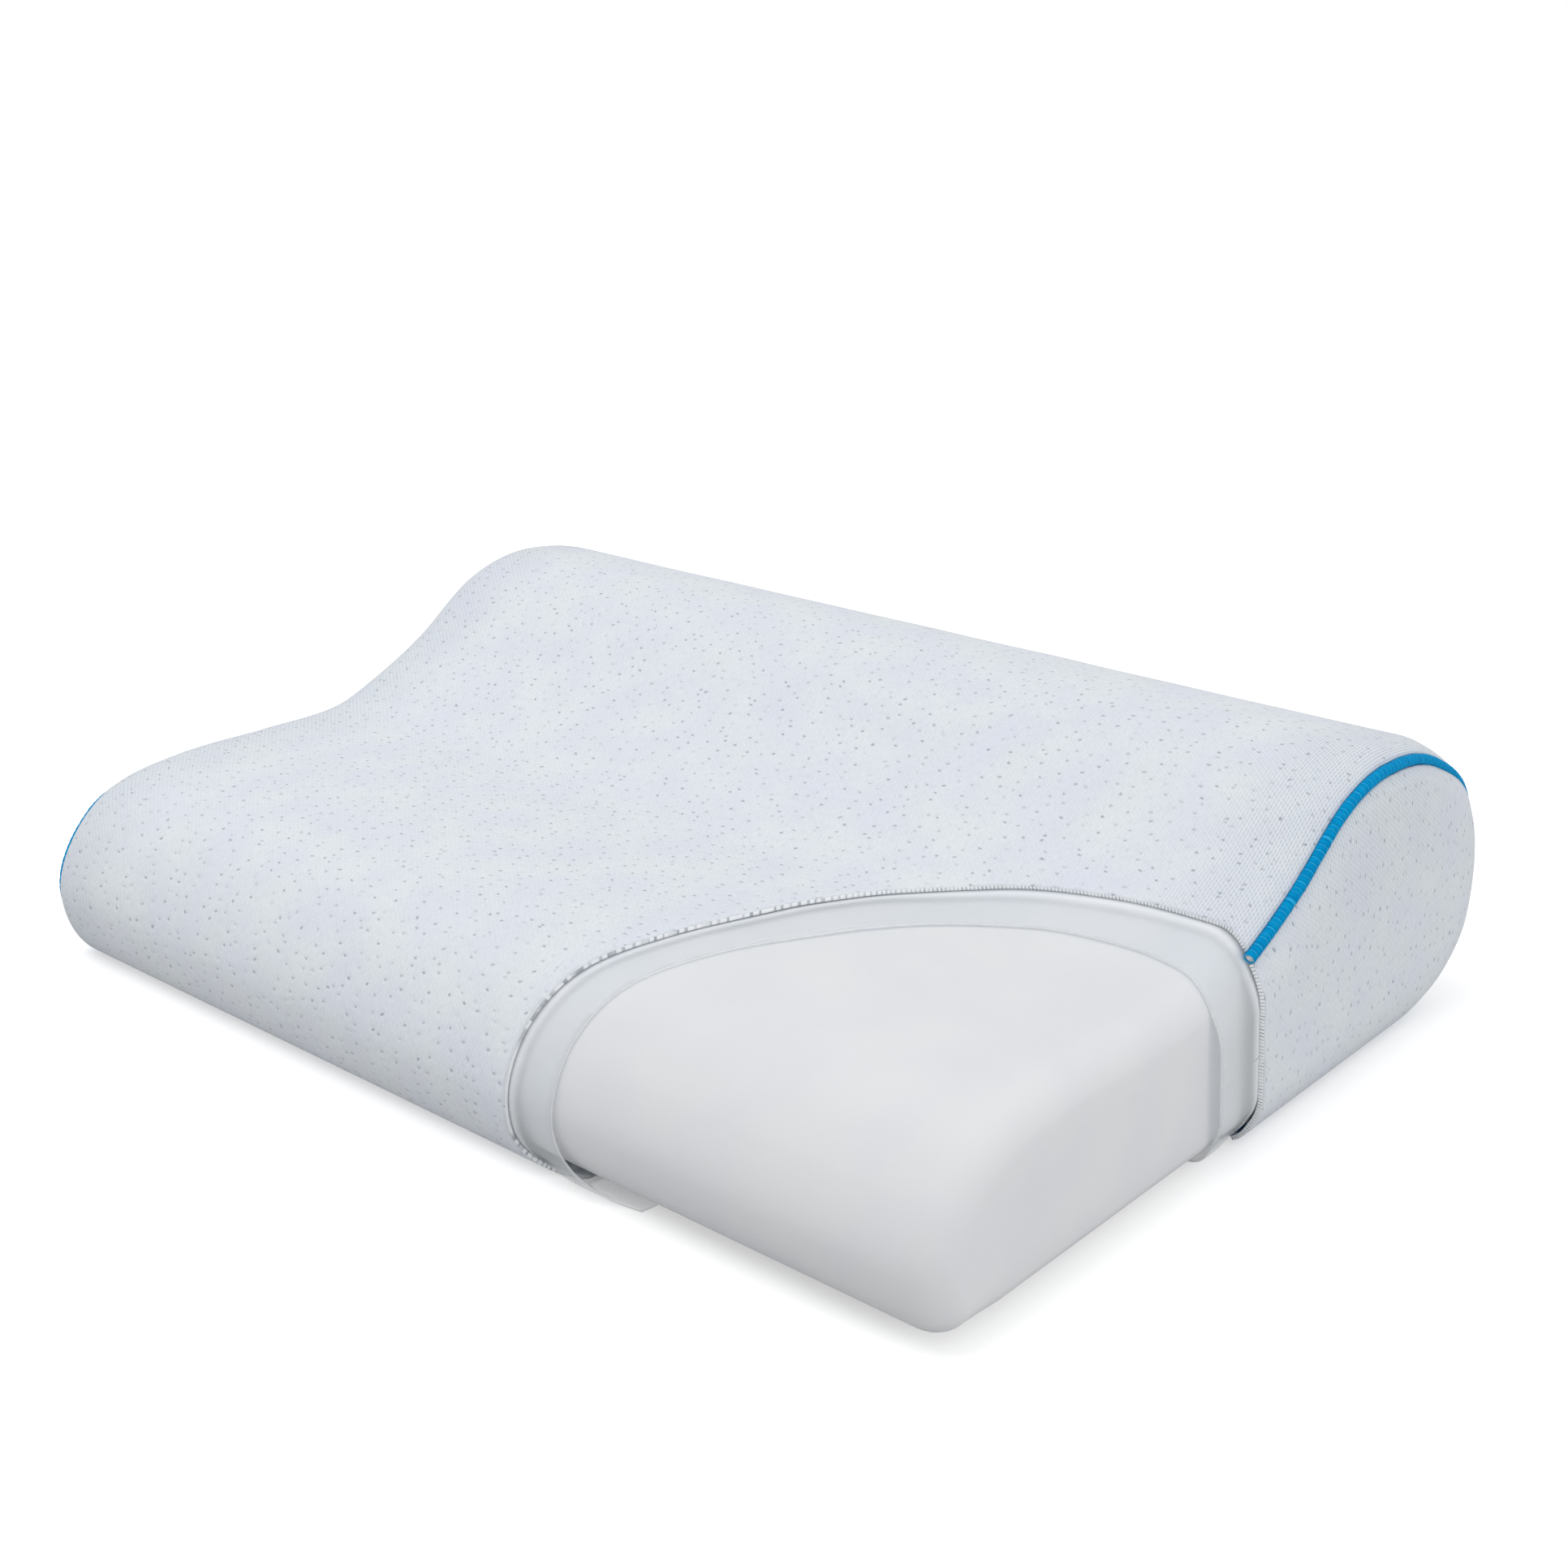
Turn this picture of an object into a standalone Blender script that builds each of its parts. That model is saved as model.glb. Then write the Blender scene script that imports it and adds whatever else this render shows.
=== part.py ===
"""A contoured cervical pillow with its near front corner cut away to show the liner and the foam.

X runs along the pillow's length, -Y is the low lobe at the front, +Y the high lobe at the back and
+Z is up. The origin is on the surface that the pillow lies on, under the middle of its box. All sizes
are in metres.
"""

from collections import namedtuple
from math import cos, radians, sin, sqrt

import bmesh
import bpy
from mathutils import Vector
from mathutils.geometry import interpolate_bezier

# Driving sizes
HALF_LENGTH = 0.2451
COVER_EDGE_RADIUS = 0.016
LINER_EDGE_RADIUS = 0.017
FOAM_HALF_LENGTH = 0.2412
FOAM_EDGE_RADIUS = 0.017
END_CROWN_X = 0.2495
FOAM_CROWN_X = 0.2425
COVER_THICKNESS = 0.0024
LINER_THICKNESS = 0.001
COVER_TO_LINER = 0.0004
PIPING_RADIUS = 0.0025
PIPING_RADIUS_PRESSED = 0.0018
PIECE_GAP = 0.0004

# The side outline of the cover's outer face, from the front foot up, over both lobes and down to
# the back foot. Seam is how far round the end edge the piping lies, in degrees, and core is the
# foam's depth below the cover.
# Columns: place, y, z, seam, core
SIDE_OUTLINE = (
    ("front foot", -0.1532, 0.0000, 20, 0.0052),
    ("front toe", -0.1787, 0.0030, 24, 0.0072),
    ("front face", -0.1899, 0.0296, 45, 0.0056),
    ("front brow", -0.1807, 0.0550, 60, 0.0044),
    ("low lobe, front", -0.1587, 0.0735, 60, 0.0044),
    ("low lobe, top", -0.1232, 0.0799, 60, 0.0044),
    ("neck valley, front", -0.0772, 0.0798, 60, 0.0048),
    ("neck valley, back", -0.0352, 0.0803, 60, 0.0048),
    ("slope, foot", -0.0102, 0.0886, 60, 0.0044),
    ("slope, middle", 0.0198, 0.1032, 60, 0.0044),
    ("slope, head", 0.0568, 0.1270, 60, 0.0044),
    ("high lobe, top", 0.0938, 0.1337, 60, 0.0044),
    ("high lobe, back", 0.1398, 0.1217, 52, 0.0044),
    ("back brow", 0.1820, 0.0888, 40, 0.0044),
    ("back face", 0.1868, 0.0340, 34, 0.0048),
    ("back toe", 0.1558, 0.0050, 24, 0.0056),
    ("back foot", 0.1038, 0.0000, 20, 0.0048),
)
STEPS_PER_SPAN = 3
UNDERSIDE_STEPS = 5

# The line inside the pillow that both crowned ends close towards.
# Columns: place, y, z
END_SPINE = (
    ("front end", -0.1410, 0.0380),
    ("valley", -0.0310, 0.0380),
    ("under high lobe", 0.0690, 0.0520),
    ("back end", 0.1240, 0.0545),
)

# Where the cut-away windows cross the pillow, seen from above, from the front face round to the right end.
# Columns: x, y
COVER_WINDOW = (
    (0.0530, -0.2150),
    (0.0535, -0.1800),
    (0.0720, -0.1180),
    (0.0995, -0.0480),
    (0.1385, -0.0205),
    (0.1840, -0.0080),
    (0.2240, -0.0055),
    (0.2620, -0.0080),
)
LINER_WINDOW = (
    (0.0760, -0.2150),
    (0.0745, -0.1780),
    (0.0935, -0.1180),
    (0.1275, -0.0560),
    (0.1630, -0.0320),
    (0.2030, -0.0255),
    (0.2300, -0.0285),
    (0.2620, -0.0370),
)
COVER_LIP = 0.020
LINER_LIP = 0.030
WINDOW_FLARE = 0.0095
WINDOW_FLARE_HEIGHT = 0.085
WINDOW_FLOOR = -0.005
WINDOW_CEILING = 0.160
WINDOW_OUTER_X = 0.262
WINDOW_OUTER_Y = -0.215
WINDOW_LIP_SHARES = (0, 0.05, 0.15, 0.3, 0.5, 0.75, 1)
PIPING_END_TOP_Y = -0.0070
PIPING_END_BOTTOM_Y = 0.0072

LINER_DEPTH = COVER_THICKNESS + COVER_TO_LINER
COVER_EDGE_TURN = radians(60)
FOAM_EDGE_TURN = radians(70)
SEAM_PROUD = radians(60)
SEAM_FLUSH = radians(35)
SLOT_WIDENING = 2
PANEL_RUN = 0.0235
LINER_RUN = 0.0250
DOME_STEPS = (0.12, 0.26, 0.42)
DOME_FLAT = 0.42
FOAM_EDGE_STEPS = 5
LINER_EDGE_STEPS = 4
WRAP_EDGE_STEPS = 3
PANEL_EDGE_STEPS = 2

# At the left end the piping stands less proud than at the right, by these shares of it: the first over the
# low lobe and the second over the slope and the high lobe, with an even change between the two places.
LEFT_PROUD_LOW = 0.7
LEFT_PROUD_HIGH = 0.35
LEFT_LOW_UNTIL_Y = -0.100
LEFT_HIGH_FROM_Y = -0.040

Station = namedtuple("Station", "point inward seam core")


def smooth_chain(points, steps, first_way=None, last_way=None):
    """Points on a smooth curve through the given ones, with handles a third of each span long."""
    ways = []
    for index in range(len(points)):
        before = points[max(index - 1, 0)]
        after = points[min(index + 1, len(points) - 1)]
        ways.append((after - before).normalized())
    ways[0] = first_way or ways[0]
    ways[-1] = last_way or ways[-1]
    chain = []
    for index in range(len(points) - 1):
        start = points[index]
        end = points[index + 1]
        reach = (end - start).length / 3
        start_handle = start + ways[index] * reach
        end_handle = end - ways[index + 1] * reach
        span = interpolate_bezier(start, start_handle, end_handle, end, steps + 1)
        chain.extend(Vector(point) for point in span[:-1])
    chain.append(points[-1].copy())
    return chain


def side_points():
    """The closed side outline in the YZ plane, flat underneath, with its seam angles and core depths."""
    rows = [(Vector((0, y, z)), radians(seam), core) for _, y, z, seam, core in SIDE_OUTLINE]
    flat = Vector((0, -1, 0))
    points = smooth_chain([row[0] for row in rows], STEPS_PER_SPAN, flat, flat)
    sizes = []
    for (_, seam, core), (_, next_seam, next_core) in zip(rows, rows[1:]):
        for step in range(STEPS_PER_SPAN):
            share = step / STEPS_PER_SPAN
            sizes.append((seam + share * (next_seam - seam), core + share * (next_core - core)))
    sizes.append(rows[-1][1:])
    for step in range(1, UNDERSIDE_STEPS):
        points.append(rows[-1][0].lerp(rows[0][0], step / UNDERSIDE_STEPS))
        sizes.append(rows[-1][1:])
    for point in points:
        point.z = max(point.z, 0)
    return points, sizes


def side_stations():
    """The outline's points, each with the way inwards from it, square to the outline."""
    points, sizes = side_points()
    stations = []
    for index, (point, (seam, core)) in enumerate(zip(points, sizes)):
        before = (point - points[index - 1]).normalized()
        after = (points[(index + 1) % len(points)] - point).normalized()
        inward = Vector((0, before.z + after.z, -before.y - after.y)).normalized()
        inward /= inward.dot(Vector((0, before.z, -before.y)))
        stations.append(Station(point, inward, seam, core))
    return stations


STATIONS = side_stations()


def on_ring(station, inset, x):
    """The point at x that lies inset below the side outline."""
    point = station.point + station.inward * inset
    point.x = x
    return point


def on_edge(station, run, radius, depth, end_x, turn=COVER_EDGE_TURN):
    """The point at a distance along the rounded end edge. Past the turn the edge goes on straight."""
    angle = min(run / radius, turn)
    beyond = max(run - radius * turn, 0)
    inset = depth + radius * (1 - cos(angle)) + beyond * sin(turn)
    return on_ring(station, inset, end_x - radius + radius * sin(angle) + beyond * cos(turn))


def spine_point(point):
    """The place on the end spine that a point of an end ring closes towards."""
    y = min(max(point.y, END_SPINE[0][1]), END_SPINE[-1][1])
    for (_, y_low, z_low), (_, y_high, z_high) in zip(END_SPINE, END_SPINE[1:]):
        if y <= y_high:
            return Vector((point.x, y, z_low + (z_high - z_low) * (y - y_low) / (y_high - y_low)))
    return Vector((point.x, y, END_SPINE[-1][2]))


def dome_rings(rim, crown_x):
    """Rings that rise from the rim to the end's crown, which is flat in the middle."""
    rings = []
    for step in DOME_STEPS:
        rise = 1 - (1 - step / DOME_FLAT) ** 2
        ring = [point.lerp(spine_point(point), step) for point in rim]
        for point in ring:
            point.x += (crown_x - point.x) * rise
        rings.append(ring)
    return rings


def mirrored(rings):
    """The same rings at the left end, in the order that continues the loft."""
    return [[Vector((-point.x, point.y, point.z)) for point in ring] for ring in reversed(rings)]


def loft(name, rings, close_start, close_end):
    """A mesh object through the rings, which all have the same number of points."""
    mesh = bpy.data.meshes.new(name)
    builder = bmesh.new()
    rows = [[builder.verts.new(point) for point in ring] for ring in rings]
    count = len(rows[0])
    for row, next_row in zip(rows, rows[1:]):
        for index in range(count):
            beside = (index + 1) % count
            builder.faces.new((row[index], row[beside], next_row[beside], next_row[index]))
    if close_start:
        builder.faces.new(list(reversed(rows[0])))
    if close_end:
        builder.faces.new(rows[-1])
    bmesh.ops.recalc_face_normals(builder, faces=builder.faces)
    builder.to_mesh(mesh)
    builder.free()
    return bpy.data.objects.new(name, mesh)


def add_wall(piece, thickness):
    """Gives an outer face its wall, grown inwards."""
    wall = piece.modifiers.new("wall", "SOLIDIFY")
    wall.thickness = thickness
    wall.offset = -1
    wall.use_even_offset = True


def cut_window(piece, cutter):
    window = piece.modifiers.new("window", "BOOLEAN")
    window.operation = "DIFFERENCE"
    window.object = cutter


def window_cutter(name, window, lip):
    """An upright block whose plan is the window, which leans at the end and draws in near the floor."""
    plan = smooth_chain([Vector((x, y, 0)) for x, y in window], STEPS_PER_SPAN)
    plan.append(Vector((WINDOW_OUTER_X, WINDOW_OUTER_Y, 0)))
    width = WINDOW_OUTER_X - window[0][0]
    lip_heights = [lip * share for share in WINDOW_LIP_SHARES]
    heights = [WINDOW_FLOOR, *lip_heights, WINDOW_FLARE_HEIGHT, WINDOW_CEILING]
    rings = []
    for height in heights:
        above_floor = max(height, 0)
        drop = 1 - min(above_floor / lip, 1)
        scale = 1 - lip * (1 - sqrt(1 - drop**2)) / width
        flare = WINDOW_FLARE * (1 - min(above_floor / WINDOW_FLARE_HEIGHT, 1))
        ring = []
        for point in plan:
            x = WINDOW_OUTER_X - (WINDOW_OUTER_X - point.x) * scale
            ring.append(Vector((x, point.y + flare, height)))
        rings.append(ring)
    cutter = loft(name, rings, True, True)
    cutter.hide_render = True
    cutter.display_type = "WIRE"
    return cutter


def material(name, colour, roughness):
    made = bpy.data.materials.new(name)
    made.use_nodes = True
    shader = made.node_tree.nodes["Principled BSDF"]
    shader.inputs["Base Color"].default_value = (*colour, 1)
    shader.inputs["Roughness"].default_value = roughness
    shader.inputs["Metallic"].default_value = 0
    return made


def foam_core():
    rings = []
    for step in range(FOAM_EDGE_STEPS + 1):
        run = FOAM_EDGE_RADIUS * FOAM_EDGE_TURN * step / FOAM_EDGE_STEPS
        rings.append([
            on_edge(station, run, FOAM_EDGE_RADIUS, station.core, FOAM_HALF_LENGTH, FOAM_EDGE_TURN)
            for station in STATIONS
        ])
    rings += dome_rings(rings[-1], FOAM_CROWN_X)
    return loft("foam_core", mirrored(rings) + rings, True, True)


def inner_liner(cutter):
    end_x = HALF_LENGTH - LINER_DEPTH
    rings = []
    for step in range(LINER_EDGE_STEPS + 1):
        run = LINER_RUN * step / LINER_EDGE_STEPS
        ring = [on_edge(station, run, LINER_EDGE_RADIUS, LINER_DEPTH, end_x) for station in STATIONS]
        rings.append(ring)
    rings += dome_rings(rings[-1], END_CROWN_X - LINER_DEPTH)
    liner = loft("inner_liner", mirrored(rings) + rings, True, True)
    add_wall(liner, LINER_THICKNESS)
    cut_window(liner, cutter)
    return liner


def left_proud(y):
    """How proud the piping stands at the left end, as a share of the right end's."""
    share = min(max((y - LEFT_LOW_UNTIL_Y) / (LEFT_HIGH_FROM_Y - LEFT_LOW_UNTIL_Y), 0), 1)
    return LEFT_PROUD_LOW + share * (LEFT_PROUD_HIGH - LEFT_PROUD_LOW)


def piping_size(station, side):
    """The piping's radius and how far its centre is sunk. It is pressed flush behind and below."""
    proud = min(max((station.seam - SEAM_FLUSH) / (SEAM_PROUD - SEAM_FLUSH), 0), 1)
    if side < 0:
        proud *= left_proud(station.point.y)
    radius = PIPING_RADIUS_PRESSED + proud * (PIPING_RADIUS - PIPING_RADIUS_PRESSED)
    return radius, (1 - proud) * PIPING_RADIUS_PRESSED


def seam_slot(station, side):
    """The runs along the end edge at which the wrap stops and the side panel starts."""
    radius, sunk = piping_size(station, side)
    half_width = (radius + PIECE_GAP) * COVER_EDGE_RADIUS / (COVER_EDGE_RADIUS - SLOT_WIDENING * sunk)
    seam_run = station.seam * COVER_EDGE_RADIUS
    return seam_run - half_width, seam_run + half_width + PIECE_GAP


def cover_ring(runs):
    """A ring of the cover's outer face, at each station's own distance along the end edge."""
    pairs = zip(STATIONS, runs)
    return [on_edge(station, run, COVER_EDGE_RADIUS, 0, HALF_LENGTH) for station, run in pairs]


def wrap_rings(side):
    """The wrap's rings from the start of one end edge to the piping's slot there."""
    ends = [seam_slot(station, side)[0] for station in STATIONS]
    rings = []
    for step in range(WRAP_EDGE_STEPS + 1):
        rings.append(cover_ring([end * step / WRAP_EDGE_STEPS for end in ends]))
    return rings


def panel_rings(side):
    """A side panel's rings from the piping's slot over the edge to its flat middle."""
    starts = [seam_slot(station, side)[1] for station in STATIONS]
    rings = []
    for step in range(PANEL_EDGE_STEPS + 1):
        share = step / PANEL_EDGE_STEPS
        rings.append(cover_ring([start + (PANEL_RUN - start) * share for start in starts]))
    return rings + dome_rings(rings[-1], END_CROWN_X)


def cover_wrap(cutter):
    wrap = loft("cover_wrap", mirrored(wrap_rings(-1)) + wrap_rings(1), False, False)
    add_wall(wrap, COVER_THICKNESS)
    cut_window(wrap, cutter)
    return wrap


def end_panels(cutter):
    right = loft("end_panel_right", panel_rings(1), False, True)
    left = loft("end_panel_left", mirrored(panel_rings(-1)), True, False)
    for panel in (right, left):
        add_wall(panel, COVER_THICKNESS)
    cut_window(right, cutter)
    return [right, left]


def seam_route(side):
    """The piping's centre line at one end, as pairs of a point and a radius."""
    route = []
    for station in STATIONS:
        radius, sunk = piping_size(station, side)
        run = station.seam * COVER_EDGE_RADIUS
        surface = on_edge(station, run, COVER_EDGE_RADIUS, 0, HALF_LENGTH)
        centre = on_ring(station, COVER_EDGE_RADIUS, HALF_LENGTH - COVER_EDGE_RADIUS)
        point = surface + (centre - surface).normalized() * sunk
        point.x *= side
        route.append((point, radius))
    return route


def between(pair, next_pair, y):
    """The place where the route crosses y."""
    share = (y - pair[0].y) / (next_pair[0].y - pair[0].y)
    return pair[0].lerp(next_pair[0], share), pair[1] + share * (next_pair[1] - pair[1])


def behind_window(route):
    """The stretch of the route from the window's top edge over the high lobe to its lower edge."""
    stretch = []
    for index, pair in enumerate(route):
        next_pair = route[(index + 1) % len(route)]
        if pair[0].y < PIPING_END_TOP_Y <= next_pair[0].y:
            stretch.append(between(pair, next_pair, PIPING_END_TOP_Y))
        elif stretch and pair[0].y > PIPING_END_TOP_Y:
            stretch.append(pair)
        if pair[0].y > PIPING_END_BOTTOM_Y >= next_pair[0].y:
            stretch.append(between(pair, next_pair, PIPING_END_BOTTOM_Y))
            break
    return stretch


def piping(name, route, closed):
    """A round cord along the route."""
    curve = bpy.data.curves.new(name, "CURVE")
    curve.dimensions = "3D"
    curve.bevel_depth = PIPING_RADIUS
    curve.bevel_resolution = 2
    curve.use_fill_caps = True
    spline = curve.splines.new("POLY")
    spline.points.add(len(route) - 1)
    for place, (point, radius) in zip(spline.points, route):
        place.co = (*point, 1)
        place.radius = radius / PIPING_RADIUS
    spline.use_cyclic_u = closed
    return bpy.data.objects.new(name, curve)


def main():
    for thing in list(bpy.data.objects):
        bpy.data.objects.remove(thing)
    parts = bpy.data.collections.new("cervical_pillow")
    cutters = bpy.data.collections.new("cutters")
    bpy.context.scene.collection.children.link(parts)
    bpy.context.scene.collection.children.link(cutters)

    foam = material("foam", (0.74, 0.75, 0.76), 0.85)
    liner = material("liner", (0.80, 0.82, 0.84), 0.6)
    knit = material("knit", (0.78, 0.82, 0.86), 0.9)
    blue = material("blue piping", (0.01, 0.26, 0.60), 0.7)

    cover_cutter = window_cutter("cover_window", COVER_WINDOW, COVER_LIP)
    liner_cutter = window_cutter("liner_window", LINER_WINDOW, LINER_LIP)
    for cutter in (cover_cutter, liner_cutter):
        cutters.objects.link(cutter)

    pieces = [(foam_core(), foam), (inner_liner(liner_cutter), liner), (cover_wrap(cover_cutter), knit)]
    pieces.extend((panel, knit) for panel in end_panels(cover_cutter))
    pieces.append((piping("piping_right", behind_window(seam_route(1)), False), blue))
    pieces.append((piping("piping_left", seam_route(-1), True), blue))
    for piece, finish in pieces:
        piece.data.materials.append(finish)
        parts.objects.link(piece)
        if piece.type == "MESH":
            piece.data.shade_smooth()


main()
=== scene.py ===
"""The looks of a contoured cervical pillow: its foam core, liner, knit cover and piping, on a pale floor.

X runs along the pillow's length, -Y is the low lobe at the front, +Y the high lobe at the back and +Z is up.
All sizes are in metres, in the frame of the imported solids.
"""

from collections import namedtuple
from math import ceil, cos, pi, radians, sin, sqrt

import bmesh
import bpy
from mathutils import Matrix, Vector, noise
from mathutils.geometry import interpolate_bezier


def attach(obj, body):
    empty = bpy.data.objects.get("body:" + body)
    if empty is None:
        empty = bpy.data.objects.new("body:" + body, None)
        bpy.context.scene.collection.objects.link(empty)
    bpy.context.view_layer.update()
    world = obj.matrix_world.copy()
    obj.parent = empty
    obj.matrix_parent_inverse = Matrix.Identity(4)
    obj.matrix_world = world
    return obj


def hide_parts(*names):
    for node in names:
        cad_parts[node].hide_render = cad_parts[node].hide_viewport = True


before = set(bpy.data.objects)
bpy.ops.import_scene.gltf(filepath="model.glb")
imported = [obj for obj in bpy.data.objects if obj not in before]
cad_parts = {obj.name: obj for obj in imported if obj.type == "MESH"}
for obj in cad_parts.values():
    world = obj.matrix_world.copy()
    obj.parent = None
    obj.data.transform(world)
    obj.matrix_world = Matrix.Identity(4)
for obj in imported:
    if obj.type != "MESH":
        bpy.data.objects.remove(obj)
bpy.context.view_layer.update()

# Driving sizes, the same as the solids' but for a thinner knit wall, a liner and foam that lie closer to it,
# thinner piping in a narrower slot, and a left piping that stands prouder over the low lobe
HALF_LENGTH = 0.2451
COVER_EDGE_RADIUS = 0.016
LINER_EDGE_RADIUS = 0.017
FOAM_HALF_LENGTH = 0.2412
FOAM_EDGE_RADIUS = 0.017
END_CROWN_X = 0.2495
FOAM_CROWN_X = 0.2425
COVER_THICKNESS = 0.0016
LINER_THICKNESS = 0.001
LINER_DEPTH = 0.0018
FOAM_RAISED = 0.0014
PIPING_RADIUS = 0.0023
PIPING_RADIUS_PRESSED = 0.0018
PIECE_GAP = 0.0001
COVER_EDGE_TURN = radians(60)
FOAM_EDGE_TURN = radians(70)
SEAM_PROUD = radians(60)
SEAM_FLUSH = radians(35)
SLOT_WIDENING = 2
LEFT_PROUD_LOW = 0.95
LEFT_PROUD_HIGH = 0.35
LEFT_LOW_UNTIL_Y = -0.100
LEFT_HIGH_FROM_Y = -0.040
SHALLOW = 0.004
EVENED_STATIONS = 5
PANEL_RUN = 0.0235
LINER_RUN = 0.0250
DOME_FLAT = 0.42
DOME_STEPS = [0.04, 0.08, 0.12, 0.16, 0.20, 0.25, 0.30, 0.36, 0.42, 0.55, 0.70, 0.85, 0.97]

# The side outline of the cover's outer face, from the front foot up and over both lobes to the back foot.
# Seam is how far round the end edge the piping lies, in degrees, and core is the foam's depth.
# Columns: place, y, z, seam, core
SIDE_OUTLINE = (
    ("front foot", -0.1532, 0.0000, 20, 0.0052),
    ("front toe", -0.1787, 0.0030, 24, 0.0072),
    ("front face", -0.1899, 0.0296, 45, 0.0056),
    ("front brow", -0.1807, 0.0550, 60, 0.0044),
    ("low lobe, front", -0.1587, 0.0735, 60, 0.0044),
    ("low lobe, top", -0.1232, 0.0799, 60, 0.0044),
    ("neck valley, front", -0.0772, 0.0798, 60, 0.0048),
    ("neck valley, back", -0.0352, 0.0803, 60, 0.0048),
    ("slope, foot", -0.0102, 0.0886, 60, 0.0044),
    ("slope, middle", 0.0198, 0.1032, 60, 0.0044),
    ("slope, head", 0.0568, 0.1270, 60, 0.0044),
    ("high lobe, top", 0.0938, 0.1337, 60, 0.0044),
    ("high lobe, back", 0.1398, 0.1217, 52, 0.0044),
    ("back brow", 0.1820, 0.0888, 40, 0.0044),
    ("back face", 0.1868, 0.0340, 34, 0.0048),
    ("back toe", 0.1558, 0.0050, 24, 0.0056),
    ("back foot", 0.1038, 0.0000, 20, 0.0048),
)
STEPS_PER_SPAN = 14
UNDERSIDE_STEPS = 56

# The line inside the pillow that both crowned ends close towards.
# Columns: place, y, z
END_SPINE = (
    ("front end", -0.1410, 0.0380),
    ("valley", -0.0310, 0.0380),
    ("under high lobe", 0.0690, 0.0520),
    ("back end", 0.1240, 0.0545),
)

# Where the cut-away windows cross the pillow, seen from above, from the front face round to the right end.
# Columns: x, y
COVER_WINDOW = (
    (0.0530, -0.2150),
    (0.0535, -0.1800),
    (0.0720, -0.1180),
    (0.0995, -0.0480),
    (0.1385, -0.0205),
    (0.1840, -0.0080),
    (0.2240, -0.0055),
    (0.2620, -0.0080),
)
LINER_WINDOW = (
    (0.0760, -0.2150),
    (0.0745, -0.1780),
    (0.0935, -0.1180),
    (0.1275, -0.0560),
    (0.1630, -0.0320),
    (0.2030, -0.0255),
    (0.2300, -0.0285),
    (0.2620, -0.0370),
)
COVER_LIP = 0.020
LINER_LIP = 0.030
WINDOW_FLARE = 0.0095
WINDOW_FLARE_HEIGHT = 0.085
WINDOW_OUTER_X = 0.262
WINDOW_STEPS = 10
FAR_OUTSIDE = 0.030
PIPING_TOP_FROM_Z = 0.030
PIPING_END_TOP_Y = -0.0070
PIPING_END_BOTTOM_Y = 0.0072

# The knit: its ribs, stitches, brushed fibres and pinholes, and how far each of them wanders
RIB_PITCH = 0.0014
RIB_WANDER = 0.0009
STITCH_PITCH = RIB_PITCH * 1.6
STITCH_WANDER = 0.0012
FIBRE_WIDTH = 0.0007
FIBRE_LENGTH = 0.0032
HOLE_PITCH = 0.0054
HOLE_STRETCH = 0.62
HOLE_WANDER = 0.010
HOLE_SCATTER = 0.78

# Where the painted shade in the rib grooves starts to show and where it is strongest: on the wrap, distances
# from the pillow's middle along its length, and on the side panels, heights above the floor
WRAP_RIBS_SHOW = (HALF_LENGTH - 0.055, HALF_LENGTH - 0.010)
PANEL_RIBS_SHOW = (0.050, 0.140)

# The cover's soft unevenness, none of it near the floor
COVER_UNEVEN = 0.0006
UNEVEN_SPACING = 0.045
UNEVEN_FROM_Z = 0.004
UNEVEN_FULL_Z = 0.030

# The liner's sag where the cover no longer lifts it, and how far past the cover's cut it hides the foam more
SAG_START = 0.002
SAG_RUN = 0.016
SAG_HEIGHT = 0.030
SAG_DEPTH = 0.0024
LINER_DULL_UNTIL = 0.0005
LINER_CLEAR_FROM = 0.0055

# How deep light goes into the foam
FOAM_GLOW_DEPTH = 0.004

# The band over the knit's cut edge, with a ridge for each rib
BAND_REACH = 0.00015
BAND_ROWS = 6
BAND_STEPS_PER_RIB = 6
BAND_PROUD = 0.00005
BAND_ROUND = 0.00020
RIDGE_REACH = 0.00015
RIDGE_UNEVEN = 0.00012

# The piping: a sleeve drawn in by cross creases over a white cord
SLEEVE_SIDES = 20
SLEEVE_STEP = 0.00026
SLEEVE_WALL = 0.0004
SLEEVE_SWELL = 0.06
CREASE_PITCH = 0.0030
CREASE_WANDER = 0.9
CREASE_DEPTH = 0.14
CORD_STEP = 0.0005
CORD_SHARE = 0.80
CORD_SUNK = 0.0003
CORD_SHOWN = 0.008

# The steps of the grids, and how near to a point a cut may move it instead of adding another
STRAIGHT_STEPS = 110
EDGE_STEPS = 8
PANEL_EDGE_STEPS = 5
LINER_EDGE_STEPS = 7
LINER_STRAIGHT_STEPS = 90
FOAM_EDGE_STEPS = 14
FOAM_HALF_STEPS = 24
CUT_SNAP_SHARE = 0.2
MERGE_DISTANCE = 0.00001

# A point inside the pillow, which tells outward faces from inward ones
INSIDE = Vector((0, 0, 0.04))

# The floor, the card below it and the camera
FLOOR_SIZE = 200
FLOOR_LEVEL = 0.9
FLOOR_GLOW = 0.42
CARD_LEVEL = 0.58
CARD_Z = -0.0005
CAMERA_PLACE = (0.57744, -0.64484, 0.40645)
CAMERA_TURN = (radians(69.7364), 0, radians(40.8735))
CAMERA_LENS = 50

Station = namedtuple("Station", "point inward deep seam core run")
Window = namedtuple("Window", "plan lip")


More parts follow.
